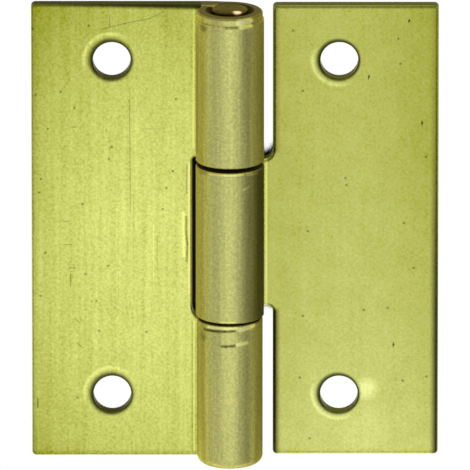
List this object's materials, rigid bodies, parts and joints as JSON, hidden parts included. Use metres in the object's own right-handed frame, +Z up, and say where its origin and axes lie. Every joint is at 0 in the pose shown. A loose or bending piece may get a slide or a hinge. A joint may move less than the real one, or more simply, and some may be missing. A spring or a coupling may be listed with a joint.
{
  "type": "box hinge",
  "caption": "Small pressed brass box hinge, lying open: flat leaves with plain screw holes, their edges rolled into interlocking knuckles round a plain pin.",
  "frame": {"origin": "on the plane that the backs of both leaves lie on, under the middle of the barrel", "axes": "+Y along the pin, +X across the leaf with the single knuckle, +Z up from the backs of the leaves towards the barrel"},
  "size_m": [0.022, 0.0255, 0.0037],
  "materials": {
    "leaf_brass": "satin rolled sheet, lightly scratched",
    "pin_brass": "dull drawn wire"
  },
  "bodies": {
    "left_side": {"left_leaf": "leaf_brass", "pin": "pin_brass"},
    "right_side": {"right_leaf": "leaf_brass"}
  },
  "joints": [
    {"name": "leaf_hinge", "type": "hinge", "parent": "left_side", "child": "right_side", "pos_m": [0, 0, 0.00184], "axis": [0, -1, 0], "range_deg": [-95, 190]}
  ]
}
